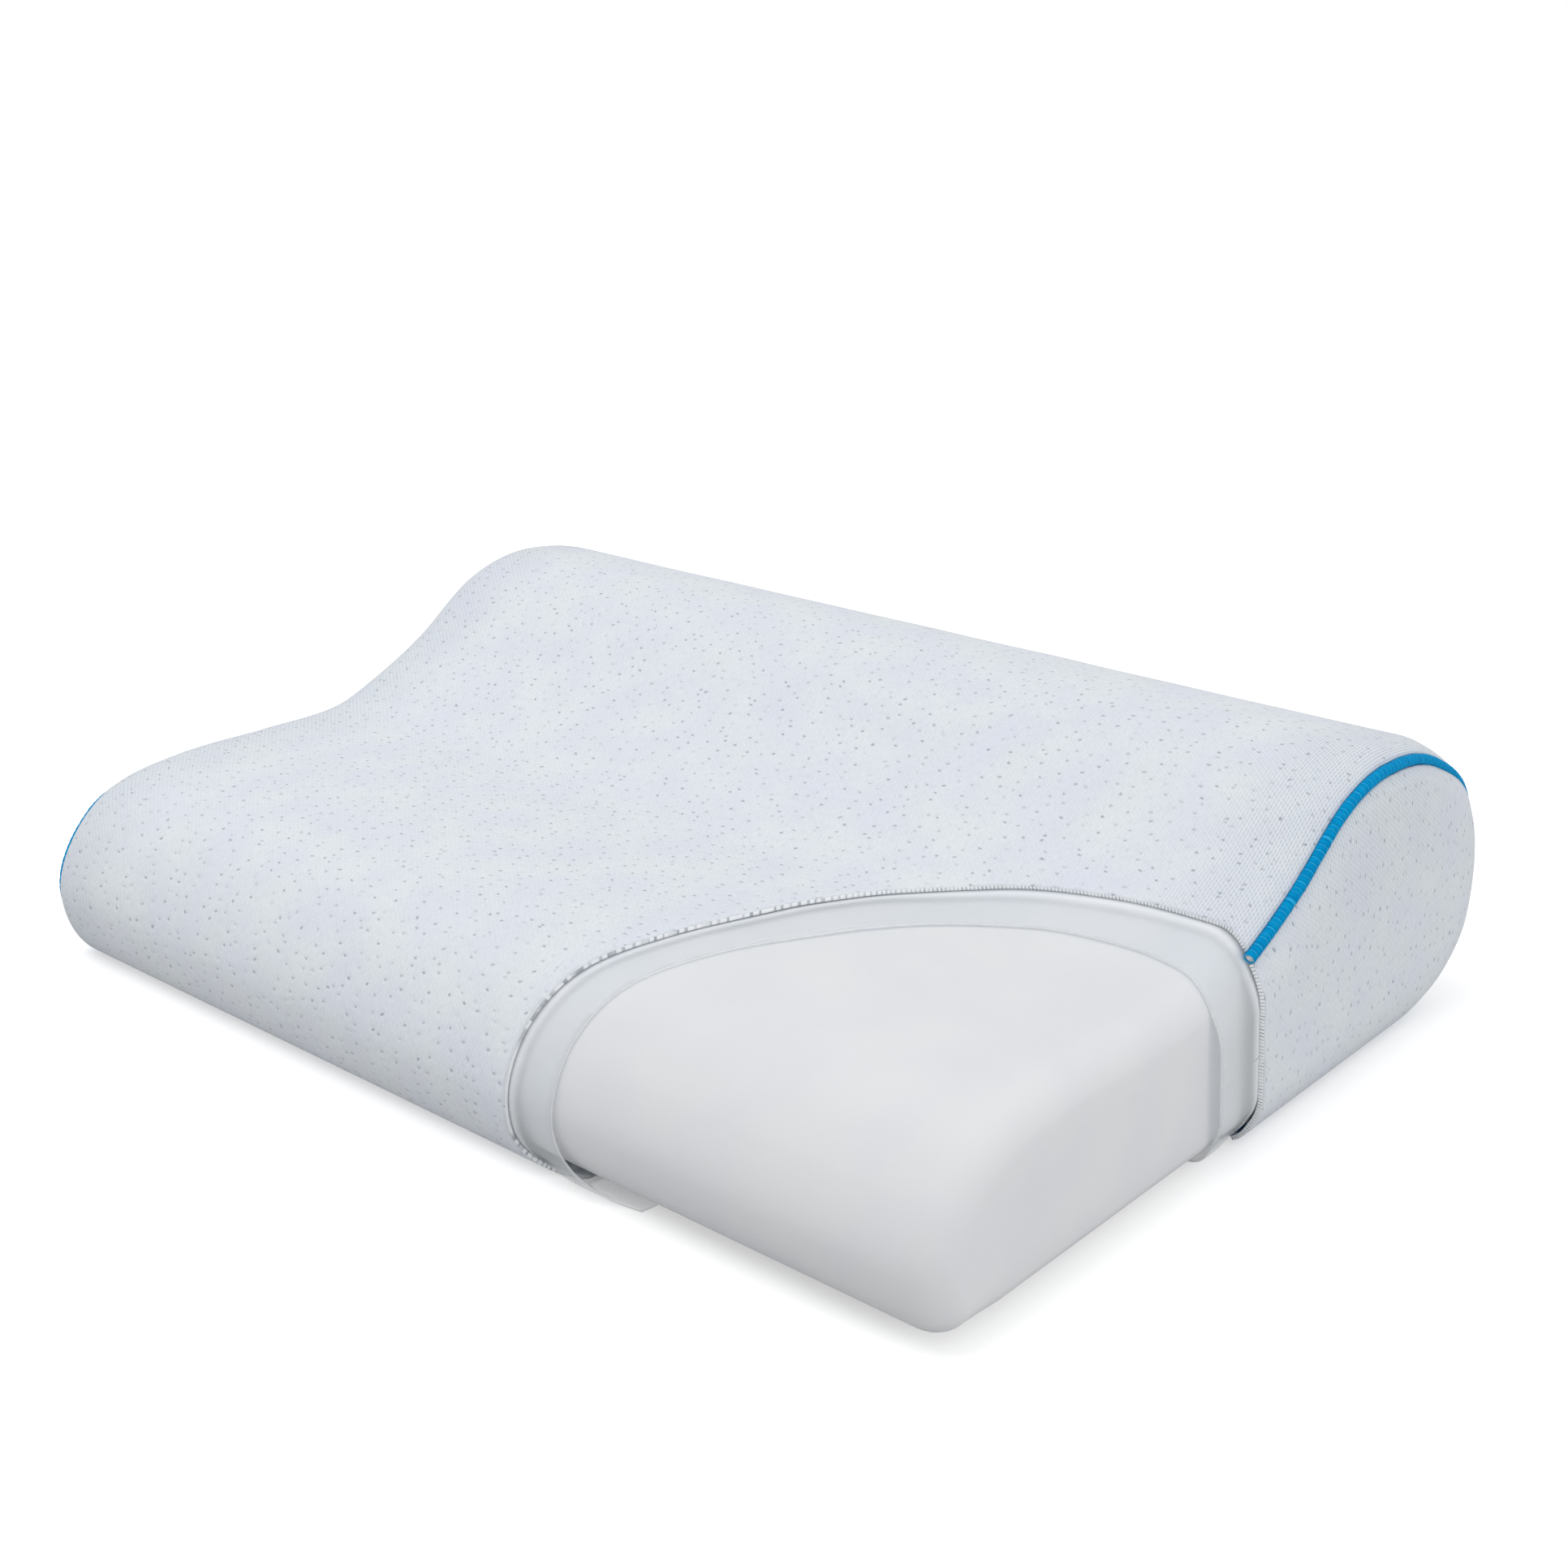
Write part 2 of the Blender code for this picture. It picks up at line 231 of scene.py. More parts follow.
def smooth_chain(points, steps, first_way=None, last_way=None):
    """Points on a smooth curve through the given ones, with handles a third of each span long."""
    ways = []
    for index in range(len(points)):
        before = points[max(index - 1, 0)]
        after = points[min(index + 1, len(points) - 1)]
        ways.append((after - before).normalized())
    ways[0] = first_way or ways[0]
    ways[-1] = last_way or ways[-1]
    chain = []
    for index in range(len(points) - 1):
        start = points[index]
        end = points[index + 1]
        reach = (end - start).length / 3
        start_handle = start + ways[index] * reach
        end_handle = end - ways[index + 1] * reach
        span = interpolate_bezier(start, start_handle, end_handle, end, steps + 1)
        chain.extend(Vector(point) for point in span[:-1])
    chain.append(points[-1].copy())
    return chain


def side_points():
    """The closed side outline, flat along the underside, with the seam angle and core depth of each point."""
    rows = [(Vector((0, y, z)), radians(seam), core) for place, y, z, seam, core in SIDE_OUTLINE]
    flat = Vector((0, -1, 0))
    points = smooth_chain([row[0] for row in rows], STEPS_PER_SPAN, flat, flat)
    sizes = []
    for (_, seam, core), (_, next_seam, next_core) in zip(rows, rows[1:]):
        for step in range(STEPS_PER_SPAN):
            share = step / STEPS_PER_SPAN
            sizes.append((seam + share * (next_seam - seam), core + share * (next_core - core)))
    sizes.append(rows[-1][1:])
    for step in range(1, UNDERSIDE_STEPS):
        points.append(rows[-1][0].lerp(rows[0][0], step / UNDERSIDE_STEPS))
        sizes.append(rows[-1][1:])
    for point in points:
        point.z = max(point.z, 0)
    middle = UNDERSIDE_STEPS // 2
    return points[-middle:] + points[:-middle], sizes[-middle:] + sizes[:-middle]


def evened(ways):
    """Each way in a closed ring averaged with its neighbours' on both sides."""
    count = len(ways)
    span = 2 * EVENED_STATIONS + 1
    found = []
    for index in range(count):
        near = [ways[(index + step - EVENED_STATIONS) % count] for step in range(span)]
        found.append(sum(near, Vector()) / span)
    return found


def side_stations():
    """The outline's stations, from the middle of the underside round to it again.

    Each has two ways inwards: one square to the outline, and an evened one so that deep points don't cross.
    """
    points, sizes = side_points()
    ways = []
    runs = []
    run = 0
    for index, point in enumerate(points):
        before = point - points[index - 1]
        after = points[(index + 1) % len(points)] - point
        run += before.length if index else 0
        before.normalize()
        after.normalize()
        inward = Vector((0, before.z + after.z, -before.y - after.y)).normalized()
        inward /= inward.dot(Vector((0, before.z, -before.y)))
        ways.append(inward)
        runs.append(run)
    deep_ways = evened(evened(ways))
    return [Station(*parts) for parts in zip(points, ways, deep_ways, *zip(*sizes), runs)]


STATIONS = side_stations()
GIRTH = STATIONS[-1].run + (STATIONS[0].point - STATIONS[-1].point).length


def on_ring(station, inset, x):
    """The point at x that lies inset below the side outline."""
    point = station.point + station.inward * min(inset, SHALLOW) + station.deep * max(inset - SHALLOW, 0)
    point.x = x
    return point


def on_edge(station, run, radius, depth, end_x, turn=COVER_EDGE_TURN):
    """The point at a distance along the rounded end edge. Past the turn the edge goes on straight."""
    angle = min(run / radius, turn)
    beyond = max(run - radius * turn, 0)
    inset = depth + radius * (1 - cos(angle)) + beyond * sin(turn)
    return on_ring(station, inset, end_x - radius + radius * sin(angle) + beyond * cos(turn))


def spine_point(point):
    """The place on the end spine that a point of an end ring closes towards."""
    y = min(max(point.y, END_SPINE[0][1]), END_SPINE[-1][1])
    for (_, y_low, z_low), (_, y_high, z_high) in zip(END_SPINE, END_SPINE[1:]):
        if y <= y_high:
            return Vector((point.x, y, z_low + (z_high - z_low) * (y - y_low) / (y_high - y_low)))
    return Vector((point.x, y, END_SPINE[-1][2]))


def on_dome(rim_point, crown_x, step):
    """The point a share of the way in from the rim of an end, which is flat past the dome's share."""
    point = rim_point.lerp(spine_point(rim_point), step)
    point.x += (crown_x - point.x) * (1 - (1 - min(step / DOME_FLAT, 1)) ** 2)
    return point


def left_proud(y):
    """How proud the piping stands at the left end, as a share of the right end's."""
    share = min(max((y - LEFT_LOW_UNTIL_Y) / (LEFT_HIGH_FROM_Y - LEFT_LOW_UNTIL_Y), 0), 1)
    return LEFT_PROUD_LOW + share * (LEFT_PROUD_HIGH - LEFT_PROUD_LOW)


def piping_size(station, side):
    """The piping's radius and how far its centre is sunk. It is pressed flush behind and below."""
    proud = min(max((station.seam - SEAM_FLUSH) / (SEAM_PROUD - SEAM_FLUSH), 0), 1)
    if side < 0:
        proud *= left_proud(station.point.y)
    radius = PIPING_RADIUS_PRESSED + proud * (PIPING_RADIUS - PIPING_RADIUS_PRESSED)
    return radius, (1 - proud) * PIPING_RADIUS_PRESSED


def seam_slot(station, side):
    """The runs along the end edge at which the wrap stops and the side panel starts."""
    radius, sunk = piping_size(station, side)
    half_width = (radius + PIECE_GAP) * COVER_EDGE_RADIUS / (COVER_EDGE_RADIUS - SLOT_WIDENING * sunk)
    seam_run = station.seam * COVER_EDGE_RADIUS
    return seam_run - half_width, seam_run + half_width + PIECE_GAP


def make_window(rows, lip):
    """A window from its outline seen from above, with the height over which it draws in below."""
    return Window(smooth_chain([Vector((x, y, 0)) for x, y in rows], WINDOW_STEPS), lip)


def outside_window(point, window):
    """How far a point lies outside the window, seen from above: below zero where the cloth is cut away."""
    above_floor = max(point.z, 0)
    drop = 1 - min(above_floor / window.lip, 1)
    width = WINDOW_OUTER_X - window.plan[0].x
    scale = 1 - window.lip * (1 - sqrt(1 - drop**2)) / width
    flare = WINDOW_FLARE * (1 - min(above_floor / WINDOW_FLARE_HEIGHT, 1))
    spot = Vector((WINDOW_OUTER_X - (WINDOW_OUTER_X - point.x) / scale, point.y - flare, 0))
    if spot.x < window.plan[0].x - FAR_OUTSIDE or spot.y > FAR_OUTSIDE:
        return FAR_OUTSIDE
    nearest = None
    for start, end in zip(window.plan, window.plan[1:]):
        way = end - start
        share = min(max((spot - start).dot(way) / way.length_squared, 0), 1)
        distance = (spot - start - way * share).length
        if nearest is None or distance < abs(nearest):
            nearest = distance if way.cross(spot - start).z > 0 else -distance
    return nearest


def smooth_share(value, low, high):
    """0 below low, 1 above high and an even curve between them."""
    share = min(max((value - low) / (high - low), 0), 1)
    return share * share * (3 - 2 * share)


def cloth_grid(columns, rows):
    """A flat cloth whose points hold their column and row as x and y."""
    cloth = bmesh.new()
    bmesh.ops.create_grid(cloth, x_segments=columns, y_segments=rows, size=0.5)
    for vert in cloth.verts:
        column = round((vert.co.x + 0.5) * columns)
        row = round((vert.co.y + 0.5) * rows)
        vert.co = Vector((column, row, 0))
    return cloth


def lay_cloth(cloth, flat, place):
    """Writes each point's flat place to the UV map, moves it to its place and closes the seam."""
    uv = cloth.loops.layers.uv.new("flat")
    for face in cloth.faces:
        for loop in face.loops:
            loop[uv].uv = flat(round(loop.vert.co.x), round(loop.vert.co.y))
    for vert in cloth.verts:
        vert.co = place(round(vert.co.x), round(vert.co.y))
    bmesh.ops.remove_doubles(cloth, verts=cloth.verts, dist=MERGE_DISTANCE)


def face_outwards(cloth):
    """Turns all faces round if the largest one points to the inside."""
    cloth.normal_update()
    face = max(cloth.faces, key=lambda each: each.calc_area())
    if face.normal.dot(face.calc_center_median() - INSIDE) < 0:
        bmesh.ops.reverse_faces(cloth, faces=cloth.faces)
    cloth.normal_update()


def cut_cloth(cloth, window):
    """Cuts the window out along its exact edge, and returns the edge's points."""
    heights = {vert: outside_window(vert.co, window) for vert in cloth.verts}
    for edge in cloth.edges:
        start, end = edge.verts
        if heights[start] * heights[end] >= 0:
            continue
        share = heights[start] / (heights[start] - heights[end])
        near = start if share < CUT_SNAP_SHARE else end if share > 1 - CUT_SNAP_SHARE else None
        if near:
            near.co = start.co.lerp(end.co, share)
            heights[near] = 0
    on_edge_line = {vert for vert in cloth.verts if heights[vert] == 0}
    for edge in list(cloth.edges):
        start, end = edge.verts
        if heights[start] * heights[end] < 0:
            share = heights[start] / (heights[start] - heights[end])
            _, added = bmesh.utils.edge_split(edge, start, share)
            heights[added] = 0
            on_edge_line.add(added)
    bmesh.ops.connect_verts(cloth, verts=list(on_edge_line))
    gone = [face for face in cloth.faces if min(heights[vert] for vert in face.verts) < 0]
    bmesh.ops.delete(cloth, geom=gone, context="FACES")
    cloth.normal_update()
    return [vert for vert in on_edge_line if vert.is_valid]


def walk_edge(verts):
    """The cut edge's points in order, from one end to the other, as (place, normal) pairs."""
    members = set(verts)
    beside = {}
    for vert in verts:
        along_edge = [edge.other_vert(vert) for edge in vert.link_edges if edge.is_boundary]
        beside[vert] = [other for other in along_edge if other in members]
    ends = [vert for vert in verts if len(beside[vert]) == 1]
    here = min(ends, key=lambda vert: -vert.co.z)
    seen = {here}
    chain = [(here.co.copy(), here.normal.copy())]
    while True:
        onward = [vert for vert in beside[here] if vert not in seen]
        if not onward:
            return chain
        here = onward[0]
        seen.add(here)
        chain.append((here.co.copy(), here.normal.copy()))


def mesh_piece(name, shape, *finishes):
    """An object from a finished bmesh, smooth all over, with its materials."""
    mesh = bpy.data.meshes.new(name)
    shape.to_mesh(mesh)
    shape.free()
    mesh.shade_smooth()
    for finish in finishes:
        mesh.materials.append(finish.material)
    piece = bpy.data.objects.new(name, mesh)
    bpy.context.collection.objects.link(piece)
    return piece


def add_wall(piece, thickness):
    """Gives an outer face its wall, grown inwards. The cut edges take the last material."""
    wall = piece.modifiers.new("wall", "SOLIDIFY")
    wall.thickness = thickness
    wall.offset = -1
    wall.material_offset_rim = len(piece.data.materials) - 1


class Value:
    """A number, colour or vector that varies over a surface. Sums and products add their Math nodes."""

    def __init__(self, finish, socket):
        self.finish = finish
        self.socket = socket

    def __add__(self, other):
        return self.finish.math("ADD", self, other)

    def __radd__(self, other):
        return self.finish.math("ADD", other, self)

    def __sub__(self, other):
        return self.finish.math("SUBTRACT", self, other)

    def __rsub__(self, other):
        return self.finish.math("SUBTRACT", other, self)

    def __mul__(self, other):
        return self.finish.math("MULTIPLY", self, other)

    def __rmul__(self, other):
        return self.finish.math("MULTIPLY", other, self)


class Finish:
    """A material, with the methods that add its nodes."""

    def __init__(self, name, constants):
        self.material = bpy.data.materials.new(name)
        self.material.use_nodes = True
        self.tree = self.material.node_tree
        self.shader = self.tree.nodes["Principled BSDF"]
        self.fill(self.shader, constants)

    def fill(self, node, sockets):
        for name, value in sockets.items():
            if isinstance(value, Value):
                self.tree.links.new(value.socket, node.inputs[name])
            else:
                node.inputs[name].default_value = value

    def node(self, kind, settings, sockets, output=0):
        made = self.tree.nodes.new(kind)
        for name, value in settings.items():
            setattr(made, name, value)
        self.fill(made, sockets)
        return Value(self, made.outputs[output])

    def math(self, operation, *values):
        return self.node("ShaderNodeMath", {"operation": operation}, dict(enumerate(values)))

    def place(self):
        return self.node("ShaderNodeTexCoord", {}, {}, "Object")

    def flat_place(self):
        """The piece's flat cloth place, as across and along in metres."""
        flat = self.node("ShaderNodeUVMap", {"uv_map": "flat"}, {})
        return [self.node("ShaderNodeSeparateXYZ", {}, {0: flat}, axis) for axis in "XY"]

    def point(self, x, y):
        return self.node("ShaderNodeCombineXYZ", {}, {"X": x, "Y": y})

    def noise(self, place, spacing, detail=2.0):
        sockets = {"Vector": place, "Scale": 1 / spacing, "Detail": detail}
        return self.node("ShaderNodeTexNoise", {}, sockets, "Fac")

    def ramp(self, value, low, high):
        """0 at low, 1 at high and an even curve between them."""
        sockets = {"Value": value, "From Min": low, "From Max": high}
        return self.node("ShaderNodeMapRange", {"interpolation_type": "SMOOTHSTEP"}, sockets)

    def mix(self, share, first, second):
        sockets = {0: share, 6: first, 7: second}
        return self.node("ShaderNodeMix", {"data_type": "RGBA"}, sockets, 2)

    def relief(self, height):
        """Takes a height in millimetres as the surface's bump."""
        bump = self.node("ShaderNodeBump", {}, {"Height": height, "Distance": 0.001}, "Normal")
        self.fill(self.shader, {"Normal": bump})

    def colour(self, value):
        self.fill(self.shader, {"Base Color": value})


def paint(red, green, blue):
    """A colour from its usual 0 to 255 values."""
    def level(value):
        share = value / 255
        return share / 12.92 if share <= 0.04045 else ((share + 0.055) / 1.055) ** 2.4

    return level(red), level(green), level(blue), 1


def knit_finish(name, rib_axis, ribs_show):
    """Fine-ribbed brushed knit with small pinholes, painted shade darkening its rib grooves and its pinholes.
    Its ribs lie side by side along the given axis.
    """
    knit = Finish(name, {"Roughness": 0.9, "Sheen Weight": 0.15, "Sheen Roughness": 0.5})
    across, along = knit.flat_place()
    flat = knit.point(across, along)
    drift = knit.noise(flat, 0.022) - 0.5
    side_drift = knit.noise(flat, 0.031) - 0.5
    side, length = (along, across) if rib_axis == "along" else (across, along)
    ribs_at = side + drift * RIB_WANDER
    stitch_at = length + side_drift * STITCH_WANDER
    rib = knit.math("SINE", ribs_at * (2 * pi / RIB_PITCH)) * 0.5 + 0.5
    stitch = knit.math("SINE", stitch_at * (2 * pi / STITCH_PITCH) + ribs_at * (pi / RIB_PITCH)) * 0.5 + 0.5
    fibres = knit.noise(knit.point(side * (1 / FIBRE_WIDTH), length * (1 / FIBRE_LENGTH)), 1, 2.0)
    holes_across = (across + drift * HOLE_WANDER) * (1 / HOLE_PITCH)
    holes_along = (along + side_drift * HOLE_WANDER) * (HOLE_STRETCH / HOLE_PITCH)
    scatter = {"Vector": knit.point(holes_across, holes_along), "Scale": 1.0, "Randomness": HOLE_SCATTER}
    spread = knit.node("ShaderNodeTexVoronoi", {"voronoi_dimensions": "2D"}, scatter, "Distance")
    hole = 1 - knit.ramp(spread, 0.02, 0.145)
    dimple = 1 - knit.ramp(spread, 0.05, 0.42)
    hole_strength = knit.ramp(knit.noise(flat, 0.007), 0.35, 0.65)
    patches = knit.ramp(knit.noise(flat, 0.026, 3.0), 0.3, 0.7)
    near_seam = knit.ramp(knit.math("ABSOLUTE", along), *ribs_show)
    rib_strength = 0.08 + 0.12 * knit.ramp(knit.noise(flat, 0.020), 0.35, 0.75) + 0.55 * near_seam
    base = knit.mix(patches, paint(222, 226, 236), paint(225, 231, 234))
    brushed = knit.mix(knit.ramp(fibres, 0.42, 0.72) * 0.30, base, paint(196, 203, 214))
    # The rib grooves are darkened with painted shade, strongest near the seam
    grooves = (1 - rib) * rib_strength * (0.4 + 0.6 * stitch)
    shaded = knit.mix(grooves, brushed, paint(170, 178, 190))
    # The pinholes are darkened with painted shade, more strongly in some patches
    pinhole_shaded = knit.mix(hole * (0.15 + 0.60 * hole_strength), shaded, paint(134, 142, 152))
    knit.colour(pinhole_shaded)
    knit.relief(rib * 0.07 + stitch * rib * 0.04 + fibres * 0.05 - hole * 0.16 - dimple * 0.12)
    return knit


def cut_knit_finish():
    """The knit where it is cut through: a ridge for each rib, with a painted highlight on its crest and
    painted shade between ridges.
    """
    cut = Finish("cut knit", {"Roughness": 0.95})
    across, along = cut.flat_place()
    ridge = cut.math("SINE", along * (2 * pi / RIB_PITCH)) * 0.5 + 0.5
    patches = cut.ramp(cut.noise(cut.point(across, along), 0.005), 0.35, 0.65)
    # Painted shade between the ridges, deeper in some patches, under a painted highlight on each crest
    shade = cut.mix(patches, paint(168, 174, 180), paint(214, 217, 221))
    cut.colour(cut.mix(cut.ramp(ridge, 0.08, 0.45), shade, paint(243, 245, 247)))
    return cut


def liner_finish():
    """Smooth thin jersey that lets some of the foam show through, but less so next to the cover's cut edge.

    Its flat map holds how far past that edge each point lies.
    """
    liner = Finish("liner", {"Roughness": 0.6, "Sheen Weight": 0.1})
    past_cut, _ = liner.flat_place()
    near_cut = 1 - liner.ramp(past_cut, LINER_DULL_UNTIL, LINER_CLEAR_FROM)
    liner.fill(liner.shader, {"Alpha": 0.32 + 0.55 * near_cut})
    place = liner.place()
    patches = liner.ramp(liner.noise(place, 0.030), 0.3, 0.7)
    liner.colour(liner.mix(patches, paint(240, 245, 250), paint(245, 248, 251)))
    liner.relief(liner.noise(place, 0.0012, 1.0) * 0.02)
    return liner


def cut_liner_finish():
    """The liner where it is cut through, whiter than its face."""
    cut = Finish("cut liner", {"Roughness": 0.6, "Alpha": 0.6})
    patches = cut.ramp(cut.noise(cut.place(), 0.006), 0.35, 0.65)
    cut.colour(cut.mix(patches, paint(238, 241, 243), paint(246, 248, 250)))
    return cut


def foam_finish():
    """Soft moulded foam, with a fine skin of cells."""
    depth = (FOAM_GLOW_DEPTH,) * 3
    foam = Finish("foam", {"Roughness": 0.85, "Subsurface Weight": 0.15, "Subsurface Radius": depth})
    place = foam.place()
    patches = foam.ramp(foam.noise(place, 0.040), 0.3, 0.7)
    foam.colour(foam.mix(patches, paint(221, 223, 227), paint(224, 226, 228)))
    foam.relief(foam.noise(place, 0.0009, 2.0) * 0.05 + foam.noise(place, 0.012) * 0.12)
    return foam


def piping_finish():
    """Blue cloth drawn tight over a cord, with a painted highlight along each cross crease and painted shade
    beside it.
    """
    blue = Finish("piping cloth", {"Roughness": 0.8, "Specular IOR Level": 0.05})
    place = blue.place()
    _, along = blue.flat_place()
    fold = blue.math("ABSOLUTE", blue.math("SINE", along * (pi / CREASE_PITCH)))
    patches = blue.ramp(blue.noise(place, 0.0030), 0.35, 0.65)
    weave = blue.noise(place, 0.0005, 1.0)
    cloth = blue.mix(patches, paint(0, 136, 194), paint(0, 148, 204))
    # Painted highlight along each cross crease and painted shade beside it
    crease = 1 - blue.ramp(fold, 0.0, 0.35)
    shadow = blue.ramp(fold, 0.25, 0.45) * (1 - blue.ramp(fold, 0.45, 0.85))
    crease_highlit = blue.mix(crease * 0.75, cloth, paint(60, 182, 230))
    blue.colour(blue.mix(shadow * 0.5, crease_highlit, paint(0, 100, 158)))
    blue.relief(weave * 0.06 + fold * 0.10)
    return blue


def cord_finish():
    """The white cord inside the piping, mottled by its strands."""
    cord = Finish("piping cord", {"Roughness": 0.8})
    strands = cord.ramp(cord.noise(cord.place(), 0.0010), 0.35, 0.65)
    cord.colour(cord.mix(strands, paint(205, 208, 210), paint(240, 242, 243)))
    return cord


def floor_finish(name, level, glow):
    """A plain matt grey of the given level, which also gives off some light of its own."""
    floor = Finish(name, {"Roughness": 1.0, "Specular IOR Level": 0.0, "Emission Strength": glow})
    floor.fill(floor.shader, {"Base Color": (level, level, level, 1), "Emission Color": (1, 1, 1, 1)})
    return floor


def foam_rings():
    """The right half of the moulded core, as rings from the crowned end to the middle."""
    end_x = FOAM_HALF_LENGTH + FOAM_RAISED

    def edge_ring(run):
        return [
            on_edge(station, run, FOAM_EDGE_RADIUS, station.core - FOAM_RAISED, end_x, FOAM_EDGE_TURN)
            for station in STATIONS
        ]

    edge_rings = [
        edge_ring(FOAM_EDGE_RADIUS * FOAM_EDGE_TURN * (1 - step / FOAM_EDGE_STEPS))
        for step in range(FOAM_EDGE_STEPS + 1)
    ]
    rings = [[on_dome(rim, FOAM_CROWN_X, step) for rim in edge_rings[0]] for step in reversed(DOME_STEPS)]
    rings += edge_rings
    for step in range(1, FOAM_HALF_STEPS + 1):
        x = (end_x - FOAM_EDGE_RADIUS) * (1 - step / FOAM_HALF_STEPS)
        rings.append([on_ring(station, station.core - FOAM_RAISED, x) for station in STATIONS])
    return rings


def drawn_shape(rings, mirror):
    """A form drawn out ring by ring, and mirrored to the other end if asked."""
    shape = bmesh.new()
    bmesh.ops.create_circle(shape, segments=len(rings[0]), radius=1, cap_ends=True)
    verts = ordered_ring(list(shape.edges))
    for vert, point in zip(verts, rings[0]):
        vert.co = point
    for ring in rings[1:]:
        made = bmesh.ops.extrude_edge_only(shape, edges=ring_edges(verts))
        fresh = [item for item in made["geom"] if isinstance(item, bmesh.types.BMVert)]
        old_place = {tuple(vert.co): index for index, vert in enumerate(verts)}
        verts = sorted(fresh, key=lambda vert: old_place[tuple(vert.co)])
        for vert, point in zip(verts, ring):
            vert.co = point
    if mirror:
        geometry = list(shape.verts) + list(shape.edges) + list(shape.faces)
        bmesh.ops.mirror(shape, geom=geometry, axis="X", merge_dist=MERGE_DISTANCE)
    bmesh.ops.recalc_face_normals(shape, faces=shape.faces)
    return shape


def ordered_ring(edges):
    """The verts of a closed ring of edges, one after the other."""
    first = edges[0].verts[0]
    ring = [first]
    here = edges[0].verts[1]
    while here is not first:
        ring.append(here)
        onward = [edge.other_vert(here) for edge in here.link_edges if edge.other_vert(here) is not ring[-2]]
        here = onward[0]
    return ring


def ring_edges(verts):
    """The edges that join a ring's verts."""
    members = set(verts)
    return list({edge for vert in verts for edge in vert.link_edges if edge.other_vert(vert) in members})


def make_foam(finish):
    """The moulded core, one padded form."""
    foam = mesh_piece("foam", drawn_shape(foam_rings(), True), finish)
    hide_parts("foam_core")
    return foam


def sheet_columns():
    """The wrap's columns along the pillow, as (x of the straight part, share of the end edge) pairs."""
    straight = HALF_LENGTH - COVER_EDGE_RADIUS
    left = [(-straight, -step / EDGE_STEPS) for step in range(EDGE_STEPS, 0, -1)]
    middle = [(straight * (2 * step / STRAIGHT_STEPS - 1), 0) for step in range(STRAIGHT_STEPS + 1)]
    right = [(straight, step / EDGE_STEPS) for step in range(1, EDGE_STEPS + 1)]
    return left + middle + right


def puffed(point, normal, amount):
    """The point lifted by a soft unevenness, none of it near the floor."""
    swell = noise.noise(point / UNEVEN_SPACING) * 0.5 + 0.5
    return point + normal * (amount * swell * smooth_share(point.z, UNEVEN_FROM_Z, UNEVEN_FULL_Z))


def make_cover_wrap(finishes, window):
    """The long knit cloth round the pillow, with its cut edge's points and its area."""
    columns = sheet_columns()
    cloth = cloth_grid(len(STATIONS), len(columns) - 1)

    def flat(index, column):
        x, share = columns[column]
        run = GIRTH if index == len(STATIONS) else STATIONS[index].run
        return run, x + share * COVER_EDGE_RADIUS * SEAM_PROUD

    def place(index, column):
        station = STATIONS[index % len(STATIONS)]
        x, share = columns[column]
        end = seam_slot(station, -1 if share < 0 else 1)[0] * abs(share)
        point = on_edge(station, end, COVER_EDGE_RADIUS, 0, HALF_LENGTH)
        point.x = abs(x) + (point.x - HALF_LENGTH + COVER_EDGE_RADIUS) if share else x
        point.x = -point.x if share < 0 else point.x
        return puffed(point, -station.inward, COVER_UNEVEN * (1 - abs(share)))

    lay_cloth(cloth, flat, place)
    face_outwards(cloth)
    edge = walk_edge(cut_cloth(cloth, window))
    area = sum(face.calc_area() for face in cloth.faces)
    wrap = mesh_piece("cover_wrap_cloth", cloth, *finishes)
    add_wall(wrap, COVER_THICKNESS)
    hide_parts("cover_wrap")
    return wrap, edge, area


def panel_rings(rows, start, crown_x, rim_run, radius, depth, end_x):
    """The places across a crowned end, from its start run over the rim to the flat middle."""
    rings = []
    for step in range(rows + 1):
        runs = [start(station) + (rim_run - start(station)) * step / rows for station in STATIONS]
        rings.append([on_edge(station, run, radius, depth, end_x) for station, run in zip(STATIONS, runs)])
    for step in DOME_STEPS:
        rings.append([on_dome(point, crown_x, step) for point in rings[rows]])
    return rings


def close_middle(cloth):
    """Fills the hole in the middle of an end with one flat face."""
    rim = [edge for edge in cloth.edges if edge.is_boundary]
    inner = min(rim, key=lambda edge: (edge.verts[0].co - spine_point(edge.verts[0].co)).length)
    bmesh.ops.contextual_create(cloth, geom=joined_boundary(inner))


def joined_boundary(edge):
    """All boundary edges that are joined to the given one."""
    found = {edge}
    open_verts = list(edge.verts)
    while open_verts:
        vert = open_verts.pop()
        for beside in vert.link_edges:
            if beside.is_boundary and beside not in found:
                found.add(beside)
                open_verts.append(beside.other_vert(vert))
    return list(found)


def make_end_panel(name, node, side, finishes, window):
    """The knit cloth over one crowned end, with its cut edge's points and its area."""
    rings = panel_rings(PANEL_EDGE_STEPS, lambda station: seam_slot(station, side)[1], END_CROWN_X, PANEL_RUN,
                        COVER_EDGE_RADIUS, 0, HALF_LENGTH)
    cloth = cloth_grid(len(STATIONS), len(rings) - 1)

    def place(index, row):
        point = rings[row][index % len(STATIONS)].copy()
        point.x *= side
        return point

    lay_cloth(cloth, lambda index, row: (0, 0), place)
    close_middle(cloth)
    uv = cloth.loops.layers.uv["flat"]
    for face in cloth.faces:
        for loop in face.loops:
            loop[uv].uv = (loop.vert.co.y, loop.vert.co.z)
    face_outwards(cloth)
    edge = walk_edge(cut_cloth(cloth, window)) if window else []
    area = sum(face.calc_area() for face in cloth.faces)
    panel = mesh_piece(name, cloth, *finishes)
    add_wall(panel, COVER_THICKNESS)
    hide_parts(node)
    return panel, edge, area


